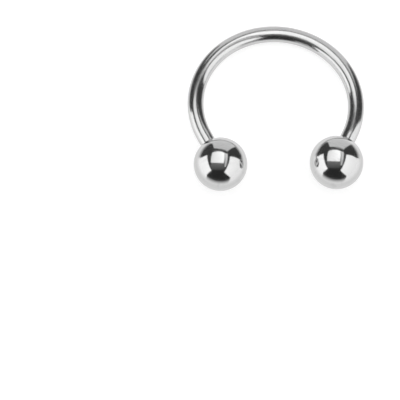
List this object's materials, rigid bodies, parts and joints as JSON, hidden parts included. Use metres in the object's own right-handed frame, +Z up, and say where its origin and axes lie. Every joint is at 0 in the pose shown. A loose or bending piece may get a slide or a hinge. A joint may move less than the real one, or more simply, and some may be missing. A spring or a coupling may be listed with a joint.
{
  "type": "horseshoe barbell",
  "caption": "Horseshoe barbell for a piercing: round wire bent to an open circle, with a polished ball screwed on each end. Lies flat.",
  "frame": {"origin": "centre of the bounding box, on the surface that the barbell lies on", "axes": "+Z up from that surface, the thinnest way through the barbell; +Y towards the back of the arch, so the balls are at -Y; +X from the left ball to the right ball, square to the plane that mirrors the barbell"},
  "size_m": [0.0132, 0.0134, 0.004],
  "materials": {
    "bar_steel": "mirror-polished stainless steel wire with fine drawing and polishing lines",
    "ball_steel": "mirror-polished stainless steel ball"
  },
  "bodies": {
    "bar": {"bar": "bar_steel"},
    "ball_left": {"ball_left": "ball_steel"},
    "ball_right": {"ball_right": "ball_steel"}
  },
  "joints": [
    {"name": "unscrew_left", "type": "slide", "parent": "bar", "child": "ball_left", "axis": [0.4274, -0.8966, 0.116], "range_m": [0, 0.0025]},
    {"name": "unscrew_right", "type": "slide", "parent": "bar", "child": "ball_right", "axis": [-0.4274, -0.8966, 0.116], "range_m": [0, 0.0025]}
  ]
}
